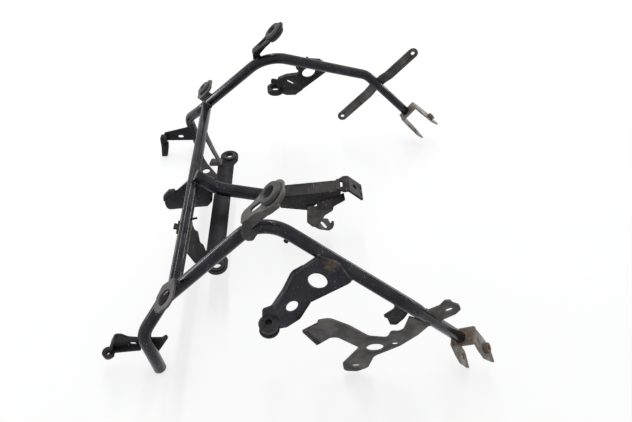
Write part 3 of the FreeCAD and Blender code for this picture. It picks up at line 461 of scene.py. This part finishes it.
def weld_material():
    """Painted weld bead with dust in its ripples."""
    material, tree, shader, where = start_material("Weld bead")
    wear = use_group(tree, "Worn surface", wear_group, where, Scale=2.0)
    film = use_group(tree, "Settled dust", dust_group, where, Amount=0.6)
    base = mix_colour(tree, wear.outputs["Blotch"], (0.018, 0.017, 0.020, 1.0), (0.068, 0.063, 0.058, 1.0))
    covered = mix_colour(tree, film.outputs["Dust"], base, (0.28, 0.245, 0.19, 1.0))
    tree.links.new(covered, shader.inputs["Base Color"])
    shader.inputs["Roughness"].default_value = 0.42
    shader.inputs["Specular IOR Level"].default_value = 0.25
    bumped(tree, shader, wear.outputs["Grain"], 0.4)
    return material


def stay_materials():
    """Every finish of the stay by name, from the panel's dust and rust."""
    dust = bpy.context.scene.stay_finish.dust
    rust = bpy.context.scene.stay_finish.rust
    return {
        "tube": paint_material("Tube paint", (0.0016, 0.0013, 0.0034, 1.0), (0.0090, 0.0082, 0.0120, 1.0),
                               (0.25, 0.24, 0.23, 1.0), 0.17, dust * 0.20, 0.24),
        "sheet": paint_material("Sheet paint", (0.0080, 0.0075, 0.0085, 1.0), (0.031, 0.029, 0.028, 1.0),
                                (0.21, 0.195, 0.172, 1.0), 0.55, dust * 0.38, 0.12),
        "dark": paint_material("Dark sheet paint", (0.0055, 0.0050, 0.0065, 1.0), (0.020, 0.018, 0.018, 1.0),
                               (0.17, 0.155, 0.135, 1.0), 0.42, dust * 0.12, 0.14),
        "bracket": paint_material("Near bracket paint", (0.0075, 0.0065, 0.0115, 1.0),
                                  (0.028, 0.025, 0.034, 1.0), (0.21, 0.19, 0.17, 1.0), 0.36,
                                  dust * 0.35, 0.22, BRACKET_WELD),
        "pale": paint_material("Pale sheet", (0.031, 0.029, 0.028, 1.0), (0.106, 0.100, 0.091, 1.0),
                               (0.29, 0.275, 0.245, 1.0), 0.5, dust * 0.6, 0.22),
        "fork": rusty_material("Rusty fork", (0.20, 0.19, 0.176, 1.0), rust - 0.10, 0.35, FORK_WEBS),
        "nut": rusty_material("Rusty nut", (0.13, 0.12, 0.11, 1.0), rust + 0.1, 0.3),
        "grey_rubber": rubber_material("Grey rubber", (0.028, 0.028, 0.028, 1.0),
                                       (0.080, 0.080, 0.077, 1.0), dust * 0.4),
        "black_rubber": rubber_material("Black rubber", (0.010, 0.010, 0.010, 1.0),
                                        (0.036, 0.036, 0.036, 1.0), dust * 0.3),
        "weld": weld_material(),
    }


LOOKS = {}


def look(name):
    """The finish of that name; all are made at the first call."""
    if not LOOKS:
        LOOKS.update(stay_materials())
    return LOOKS[name]


def finish_of(node):
    """Which finish a solid wears."""
    for names, finish in ((TUBES, "tube"), (PALE_SHEET, "pale"), (DARK_SHEET, "dark"), (RUSTY, "fork"),
                          (NUTS, "nut"), (("lower_bracket_near",), "bracket"),
                          (GREY_RUBBER, "grey_rubber"), (BLACK_RUBBER, "black_rubber")):
        if node in names:
            return finish
    return "sheet"


def soften(obj, radius, angle):
    """Joins the mesh's seams and rounds its sharp edges, as modifiers."""
    for face in obj.data.polygons:
        face.use_smooth = True
    join = obj.modifiers.new("Join", "WELD")
    join.merge_threshold = MERGE
    edge = obj.modifiers.new("Edges", "BEVEL")
    edge.width = radius
    edge.segments = 2
    edge.limit_method = "ANGLE"
    edge.angle_limit = angle
    edge.harden_normals = True
    edge.use_clamp_overlap = True


def dress(finishes):
    """Gives every solid whose finish is named its material and its rounded edges."""
    settings = bpy.context.scene.stay_finish
    count = 0
    for name, obj in NODES.items():
        finish = finish_of(name)
        if finish in finishes:
            obj.data.materials.clear()
            obj.data.materials.append(look(finish))
            soften(obj, settings.edge, settings.smooth)
            count += 1
    if not count:
        raise RuntimeError("no solid wears " + ", ".join(finishes))


class STAY_OT_tubes(Operator):
    """Old gloss black paint on the bent tubes"""

    bl_idname = "stay.tubes"
    bl_label = "Paint the tubes"

    def execute(self, context):
        dress(("tube",))
        return {"FINISHED"}


class STAY_OT_sheets(Operator):
    """Dull, dusty paint on the pressed sheets, paler where it has worn"""

    bl_idname = "stay.sheets"
    bl_label = "Paint the sheets"

    def execute(self, context):
        dress(("sheet", "dark", "pale", "bracket"))
        return {"FINISHED"}


class STAY_OT_forks(Operator):
    """Bare grey metal and brown rust on the two forks"""

    bl_idname = "stay.forks"
    bl_label = "Rust the forks"

    def execute(self, context):
        dress(("fork",))
        return {"FINISHED"}


class STAY_OT_nuts(Operator):
    """Dark rust on the weld nuts"""

    bl_idname = "stay.nuts"
    bl_label = "Rust the nuts"

    def execute(self, context):
        dress(("nut",))
        return {"FINISHED"}


class STAY_OT_rubbers(Operator):
    """Greyed rubber on the grommets, black rubber on bushes and edging"""

    bl_idname = "stay.rubbers"
    bl_label = "Age the rubbers"

    def execute(self, context):
        dress(("grey_rubber", "black_rubber"))
        return {"FINISHED"}


def tree_of(obj):
    """Search tree over an object's faces."""
    mesh = obj.data
    return BVHTree.FromPolygons([v.co for v in mesh.vertices], [p.vertices for p in mesh.polygons])


def seam(piece, carrier, reach):
    """Edges of one solid that lie on another, as vertices and pairs."""
    near = tree_of(carrier)
    mesh = piece.data
    spots = {}
    points = []
    pairs = set()

    def on_carrier(point):
        hit = near.find_nearest(point, reach)
        return hit[0] is not None

    def number(point):
        key = tuple(round(v, 5) for v in point)
        if key not in spots:
            spots[key] = len(points)
            points.append(Vector(point))
        return spots[key]

    normals = {}
    for face in mesh.polygons:
        for a, b in face.edge_keys:
            key = frozenset(tuple(round(v, 5) for v in mesh.vertices[i].co) for i in (a, b))
            normals.setdefault(key, []).append(face.normal.copy())
    done = set()
    for edge in mesh.edges:
        a, b = (mesh.vertices[i].co for i in edge.vertices)
        key = frozenset(tuple(round(v, 5) for v in p) for p in (a, b))
        if len(key) < 2 or key in done:
            continue
        done.add(key)
        sides = normals.get(key, [])
        folded = len(sides) == 2 and sides[0].angle(sides[1], 0.0) > FOLD
        if folded and on_carrier(a) and on_carrier(b) and on_carrier((a + b) / 2.0):
            pairs.add((number(a), number(b)))
    return points, sorted(pairs)


def geometry_tree(name, inputs):
    """Empty geometry tree with named inputs: the tree, its ends and each input's identifier."""
    tree = bpy.data.node_groups.new(name, "GeometryNodeTree")
    keys = {}
    for label, kind, value in inputs:
        socket = tree.interface.new_socket(name=label, in_out="INPUT", socket_type=kind)
        if value is not None:
            socket.default_value = value
        keys[label] = socket.identifier
    tree.interface.new_socket(name="Geometry", in_out="OUTPUT", socket_type="NodeSocketGeometry")
    return tree, tree.nodes.new("NodeGroupInput"), tree.nodes.new("NodeGroupOutput"), keys


def close_tree(tree, leave, result, material, smooth=False):
    """Ends a tree: real geometry, smooth where asked, with its material."""
    link = tree.links.new
    solid = put(tree, "GeometryNodeRealizeInstances")
    link(result, solid.inputs["Geometry"])
    result = solid.outputs["Geometry"]
    if smooth:
        shade = put(tree, "GeometryNodeSetShadeSmooth")
        link(result, shade.inputs["Geometry"])
        result = shade.outputs["Geometry"]
    coat = put(tree, "GeometryNodeSetMaterial")
    coat.inputs["Material"].default_value = material
    link(result, coat.inputs["Geometry"])
    link(coat.outputs["Geometry"], leave.inputs["Geometry"])


def bead_tree(bead, pitch, material):
    """Geometry nodes: round drops of random sizes along every edge, as one mesh."""
    tree, enter, leave, keys = geometry_tree("Weld beads", (
        ("Geometry", "NodeSocketGeometry", None),
        ("Bead radius", "NodeSocketFloat", bead),
        ("Pitch", "NodeSocketFloat", pitch),
    ))
    link = tree.links.new
    lines = put(tree, "GeometryNodeMeshToCurve")
    link(enter.outputs["Geometry"], lines.inputs["Mesh"])
    even = put(tree, "GeometryNodeResampleCurve", mode="LENGTH")
    link(lines.outputs["Curve"], even.inputs["Curve"])
    link(enter.outputs["Pitch"], even.inputs["Length"])
    drop = put(tree, "GeometryNodeMeshIcoSphere", in_Subdivisions=2)
    link(enter.outputs["Bead radius"], drop.inputs["Radius"])
    place = put(tree, "GeometryNodeInstanceOnPoints")
    link(even.outputs["Curve"], place.inputs["Points"])
    link(drop.outputs["Mesh"], place.inputs["Instance"])
    sizes = put(tree, "FunctionNodeRandomValue", data_type="FLOAT_VECTOR", in_Seed=DROP_SEED)
    for label, share in zip(("Min", "Max"), DROP_SHARES):
        ends = [s for s in sizes.inputs if s.enabled and s.name == label]
        ends[0].default_value = (share, share, share)
    link([s for s in sizes.outputs if s.enabled][0], place.inputs["Scale"])
    close_tree(tree, leave, place.outputs["Instances"], material, smooth=True)
    return tree, keys


def plain_mesh(obj, name):
    """Replaces an object by a plain mesh of what its modifiers make."""
    bpy.context.view_layer.update()
    graph = bpy.context.evaluated_depsgraph_get()
    mesh = bpy.data.meshes.new_from_object(obj.evaluated_get(graph), depsgraph=graph)
    mesh.name = name
    result = bpy.data.objects.new(name, mesh)
    bpy.context.scene.collection.objects.link(result)
    bpy.data.objects.remove(obj)
    return result


def run_tree(mesh, tree, values, name):
    """Runs a geometry nodes tree on a mesh and keeps the plain result."""
    carrier = bpy.data.objects.new(name + "_guide", mesh)
    bpy.context.scene.collection.objects.link(carrier)
    modifier = carrier.modifiers.new("Build", "NODES")
    modifier.node_group = tree
    for identifier, value in values.items():
        modifier[identifier] = value
    return plain_mesh(carrier, name)


class STAY_OT_welds(Operator):
    """Rippled weld beads along the seams between sheets and tubes"""

    bl_idname = "stay.welds"
    bl_label = "Lay the weld beads"

    def execute(self, context):
        settings = context.scene.stay_weld
        tree, keys = bead_tree(settings.bead, settings.pitch, look("weld"))
        by_piece = {}
        for piece, carrier in WELDS:
            points, pairs = seam(NODES[piece], NODES[carrier], settings.reach)
            if not pairs:
                raise RuntimeError("no seam between %s and %s" % (piece, carrier))
            by_piece.setdefault(piece, []).append((points, pairs))
        for piece, seams in by_piece.items():
            mesh = bpy.data.meshes.new(piece + "_seams")
            points = []
            pairs = []
            for spots, ends in seams:
                shift = len(points)
                points.extend(spots)
                pairs.extend((a + shift, b + shift) for a, b in ends)
            mesh.from_pydata(points, pairs, [])
            values = {keys["Bead radius"]: settings.bead, keys["Pitch"]: settings.pitch}
            bead = run_tree(mesh, tree, values, "weld_" + piece)
            if not bead.data.polygons:
                raise RuntimeError("empty weld bead on " + piece)
            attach(bead, ROOT)
        return {"FINISHED"}


def thread_tree(material):
    """Geometry nodes: a ridge swept along a helix, as one mesh."""
    tree, enter, leave, keys = geometry_tree("Thread ridge", (
        ("Radius", "NodeSocketFloat", 0.003),
        ("Height", "NodeSocketFloat", 0.005),
        ("Turns", "NodeSocketFloat", 4.0),
        ("Depth", "NodeSocketFloat", 0.0003),
    ))
    link = tree.links.new
    helix = put(tree, "GeometryNodeCurveSpiral", in_Resolution=28)
    link(enter.outputs["Turns"], helix.inputs["Rotations"])
    link(enter.outputs["Radius"], helix.inputs["Start Radius"])
    link(enter.outputs["Radius"], helix.inputs["End Radius"])
    link(enter.outputs["Height"], helix.inputs["Height"])
    ridge = put(tree, "GeometryNodeCurvePrimitiveCircle", in_Resolution=6)
    link(enter.outputs["Depth"], ridge.inputs["Radius"])
    body = put(tree, "GeometryNodeCurveToMesh", in_Fill_Caps=True)
    link(helix.outputs["Curve"], body.inputs["Curve"])
    link(ridge.outputs["Curve"], body.inputs["Profile Curve"])
    close_tree(tree, leave, body.outputs["Mesh"], material)
    return tree, keys


# Share of a nut's height that is threaded
THREADED = 0.92


def nut_axis(obj):
    """Middle of one flat face of a round nut, the axis from there through the nut, and its height."""
    mesh = obj.data
    flats = {}
    for face in mesh.polygons:
        key = tuple(round(v, 2) for v in face.normal)
        total, spot = flats.get(key, (0.0, Vector()))
        flats[key] = (total + face.area, spot + face.center * face.area)
    ends = sorted(flats.values(), key=lambda item: -item[0])[:2]
    first, second = (spot / total for total, spot in ends)
    return first, (second - first).normalized(), (second - first).length


class STAY_OT_threads(Operator):
    """Threads in the weld nuts"""

    bl_idname = "stay.threads"
    bl_label = "Cut the nuts' threads"

    def execute(self, context):
        settings = context.scene.stay_thread
        tree, keys = thread_tree(look("nut"))
        for name in NUTS:
            base, axis, height = nut_axis(NODES[name])
            spots = [v.co - base for v in NODES[name].data.vertices]
            bore = min((spot - axis * spot.dot(axis)).length for spot in spots)
            values = {keys["Radius"]: bore, keys["Height"]: height * THREADED,
                      keys["Turns"]: height * THREADED / settings.pitch, keys["Depth"]: settings.depth}
            empty = bpy.data.meshes.new(name + "_seed")
            thread = run_tree(empty, tree, values, name + "_thread")
            turn = Vector((0.0, 0.0, 1.0)).rotation_difference(axis).to_matrix().to_4x4()
            turn.translation = base + axis * height * (1.0 - THREADED) / 2.0
            thread.data.transform(turn)
            if not thread.data.polygons:
                raise RuntimeError("empty thread in " + name)
            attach(thread, ROOT)
        return {"FINISHED"}


# Front edge of the lower plate's near face, from its lower to its upper corner, and the
# direction from that edge into the plate; the outer ribs stand this far from the corners
RIB_EDGE = (Vector((0.0154, -0.2383, 0.0702)), Vector((-0.0017, -0.2383, 0.1012)))
RIB_INWARD = Vector((0.876, 0.0, 0.483))
RIB_MARGIN = 0.0030


def rib_tree(material):
    """Geometry nodes: round ribs side by side along X, each running along Y, as one mesh."""
    tree, enter, leave, keys = geometry_tree("Pressed ribs", (
        ("Radius", "NodeSocketFloat", 0.0007),
        ("Length", "NodeSocketFloat", 0.006),
        ("Run", "NodeSocketVector", (0.03, 0.0, 0.0)),
        ("Count", "NodeSocketInt", 9),
    ))
    link = tree.links.new
    row = put(tree, "GeometryNodeMeshLine", mode="END_POINTS")
    link(enter.outputs["Count"], row.inputs["Count"])
    far_end = [s for s in row.inputs if s.enabled and s.type == "VECTOR"][1]
    link(enter.outputs["Run"], far_end)
    rib = put(tree, "GeometryNodeMeshCylinder", in_Vertices=10)
    link(enter.outputs["Radius"], rib.inputs["Radius"])
    link(enter.outputs["Length"], rib.inputs["Depth"])
    place = put(tree, "GeometryNodeInstanceOnPoints")
    link(row.outputs["Mesh"], place.inputs["Points"])
    link(rib.outputs["Mesh"], place.inputs["Instance"])
    place.inputs["Rotation"].default_value = (math.pi / 2.0, 0.0, 0.0)
    close_tree(tree, leave, place.outputs["Instances"], material)
    return tree, keys


class STAY_OT_ribs(Operator):
    """Short pressed ribs across the front end of the lower plate"""

    bl_idname = "stay.ribs"
    bl_label = "Press the ribs"

    def execute(self, context):
        settings = context.scene.stay_rib
        tree, keys = rib_tree(look("dark"))
        low, high = RIB_EDGE
        along = (high - low).normalized()
        run = (high - low).length - 2.0 * RIB_MARGIN
        values = {keys["Radius"]: settings.radius, keys["Length"]: settings.length,
                  keys["Run"]: (run, 0.0, 0.0), keys["Count"]: settings.count}
        ribs = run_tree(bpy.data.meshes.new("rib_seed"), tree, values, "lower_plate_ribs")
        inward = (RIB_INWARD - along * RIB_INWARD.dot(along)).normalized()
        turn = Matrix((along, inward, along.cross(inward))).transposed().to_4x4()
        turn.translation = low + along * RIB_MARGIN + inward * settings.length / 2.0
        ribs.data.transform(turn)
        if not ribs.data.polygons:
            raise RuntimeError("the ribs are empty")
        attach(ribs, ROOT)
        return {"FINISHED"}


# Where the photograph was taken from, in metres and degrees
EYE = Vector((0.002, -0.560, 0.632))
LOOK_DOWN = 46.0
LOOK_RIGHT = 2.168
LENS = 30.31
SENSOR = 36.0

# Where the lights stand and what they face, in metres
MIDDLE = Vector((0.0, 0.0, 0.1))
KEY_SPOT = (-0.05, 0.70, 1.65)
GLINT_SPOTS = {
    "glint_front": (-1.7, 0.4, 0.35),
    "glint_rear": (1.45, 1.15, 0.32),
}

# Width and height of the strip lights, in metres
KEY_SIZE = (0.07, 1.7)
GLINT_SIZE = (1.2, 0.12)

# The floor lies this far below the lowest point, in metres
FLOOR_GAP = 0.0003

# How far the floor is lifted to white where it is looked at, from 0 to 1
FLOOR_LIFT = 0.65


def seen_directly(tree):
    """1 for camera, glossy and transmission rays, 0 for light that falls on the stay."""
    rays = put(tree, "ShaderNodeLightPath")
    either = put(tree, "ShaderNodeMath", operation="MAXIMUM")
    tree.links.new(rays.outputs["Is Camera Ray"], either.inputs[0])
    tree.links.new(rays.outputs["Is Glossy Ray"], either.inputs[1])
    any_ray = put(tree, "ShaderNodeMath", operation="MAXIMUM")
    tree.links.new(either.outputs[0], any_ray.inputs[0])
    tree.links.new(rays.outputs["Is Transmission Ray"], any_ray.inputs[1])
    return any_ray.outputs[0]


def floor_material():
    """Pale floor that keeps faint shadows and is lifted towards white where it is looked at."""
    material, tree, shader, where = start_material("White floor")
    cloud = put(tree, "ShaderNodeTexNoise", in_Scale=3.0, in_Detail=2.0)
    tree.links.new(where, cloud.inputs["Vector"])
    tone = mix_colour(tree, cloud.outputs[0], (0.96, 0.96, 0.96, 1.0), (0.98, 0.98, 0.98, 1.0))
    tree.links.new(tone, shader.inputs["Base Color"])
    shader.inputs["Roughness"].default_value = 0.95
    shader.inputs["Specular IOR Level"].default_value = 0.0
    white = put(tree, "ShaderNodeEmission", in_Color=(1.0, 1.0, 1.0, 1.0), in_Strength=1.0)
    share = put(tree, "ShaderNodeMath", operation="MULTIPLY")
    tree.links.new(seen_directly(tree), share.inputs[0])
    share.inputs[1].default_value = FLOOR_LIFT
    both = put(tree, "ShaderNodeMixShader")
    tree.links.new(share.outputs[0], both.inputs[0])
    tree.links.new(shader.outputs[0], both.inputs[1])
    tree.links.new(white.outputs[0], both.inputs[2])
    out = [node for node in tree.nodes if node.bl_idname == "ShaderNodeOutputMaterial"][0]
    tree.links.new(both.outputs[0], out.inputs["Surface"])
    return material


def white_world(strength):
    """White where it is seen or mirrored, and soft white light on the stay."""
    world = bpy.data.worlds.new("Studio")
    world.use_nodes = True
    tree = world.node_tree
    tree.nodes.clear()
    out = put(tree, "ShaderNodeOutputWorld")
    plain_white = put(tree, "ShaderNodeBackground", in_Color=(1.0, 1.0, 1.0, 1.0), in_Strength=1.0)
    soft = put(tree, "ShaderNodeBackground", in_Color=(0.98, 0.99, 1.0, 1.0), in_Strength=strength)
    choose = put(tree, "ShaderNodeMixShader")
    tree.links.new(seen_directly(tree), choose.inputs[0])
    tree.links.new(soft.outputs[0], choose.inputs[1])
    tree.links.new(plain_white.outputs[0], choose.inputs[2])
    tree.links.new(choose.outputs[0], out.inputs["Surface"])
    return world


def area_light(name, spot, power, size):
    """Long strip light that faces the stay's middle."""
    data = bpy.data.lights.new(name, "AREA")
    data.energy = power
    data.shape = "RECTANGLE"
    data.size, data.size_y = size
    lamp = bpy.data.objects.new(name, data)
    lamp.location = spot
    lamp.rotation_euler = (MIDDLE - Vector(spot)).to_track_quat("-Z", "Y").to_euler()
    bpy.context.scene.collection.objects.link(lamp)
    return lamp


class STAY_OT_stage(Operator):
    """White floor, studio light and the photograph's camera"""

    bl_idname = "stay.stage"
    bl_label = "Set the stage"

    def execute(self, context):
        scene = context.scene
        settings = scene.stay_stage
        half = settings.floor / 2.0
        mesh = bpy.data.meshes.new("floor")
        mesh.from_pydata([(-half, -half, 0.0), (half, -half, 0.0), (half, half, 0.0), (-half, half, 0.0)], [],
                         [(0, 1, 2, 3)])
        floor = bpy.data.objects.new("floor", mesh)
        floor.location.z = -FLOOR_GAP
        floor.data.materials.append(floor_material())
        scene.collection.objects.link(floor)
        area_light("key", KEY_SPOT, settings.key, KEY_SIZE)
        for name, spot in GLINT_SPOTS.items():
            area_light(name, spot, settings.glints, GLINT_SIZE)
        scene.world = white_world(settings.sky)
        data = bpy.data.cameras.new("camera")
        data.lens = LENS
        data.sensor_width = SENSOR
        data.sensor_fit = "HORIZONTAL"
        data.clip_start = 0.01
        data.clip_end = 50.0
        camera = bpy.data.objects.new("camera", data)
        camera.location = EYE
        camera.rotation_euler = (math.radians(90.0 - LOOK_DOWN), 0.0, -math.radians(LOOK_RIGHT))
        scene.collection.objects.link(camera)
        scene.camera = camera
        scene.view_settings.view_transform = "Standard"
        return {"FINISHED"}


class STAY_PT_panel(Panel):
    """The stay's sizes and steps in the sidebar"""

    bl_label = "Fairing stay"
    bl_idname = "STAY_PT_panel"
    bl_space_type = "VIEW_3D"
    bl_region_type = "UI"
    bl_category = "Stay"

    def draw(self, context):
        scene = context.scene
        layout = self.layout
        rows = (
            (scene.stay_finish, ("edge", "smooth", "dust", "rust"), FINISHERS),
            (scene.stay_weld, ("bead", "pitch", "reach"), (STAY_OT_welds,)),
            (scene.stay_thread, ("pitch", "depth"), (STAY_OT_threads,)),
            (scene.stay_rib, ("radius", "length", "count"), (STAY_OT_ribs,)),
            (scene.stay_stage, ("floor", "sky", "key", "glints"), (STAY_OT_stage,)),
        )
        for settings, names, operators in rows:
            box = layout.box()
            for name in names:
                box.prop(settings, name)
            for operator in operators:
                box.operator(operator.bl_idname)


FINISHERS = (STAY_OT_tubes, STAY_OT_sheets, STAY_OT_forks, STAY_OT_nuts, STAY_OT_rubbers)
CLASSES = (StayFinish, StayWeld, StayThread, StayRib, StayStage) + FINISHERS + (
    STAY_OT_welds, STAY_OT_threads, STAY_OT_ribs, STAY_OT_stage, STAY_PT_panel)


def register():
    for item in CLASSES:
        bpy.utils.register_class(item)
    bpy.types.Scene.stay_finish = PointerProperty(type=StayFinish)
    bpy.types.Scene.stay_weld = PointerProperty(type=StayWeld)
    bpy.types.Scene.stay_thread = PointerProperty(type=StayThread)
    bpy.types.Scene.stay_rib = PointerProperty(type=StayRib)
    bpy.types.Scene.stay_stage = PointerProperty(type=StayStage)


def unregister():
    for name in ("stay_finish", "stay_weld", "stay_thread", "stay_rib", "stay_stage"):
        delattr(bpy.types.Scene, name)
    for item in reversed(CLASSES):
        bpy.utils.unregister_class(item)


def main():
    register()
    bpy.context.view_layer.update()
    bpy.ops.stay.tubes()
    bpy.ops.stay.sheets()
    bpy.ops.stay.forks()
    bpy.ops.stay.nuts()
    bpy.ops.stay.rubbers()
    bpy.ops.stay.welds()
    bpy.ops.stay.threads()
    bpy.ops.stay.ribs()
    bpy.ops.stay.stage()


if __name__ == "__main__":
    main()
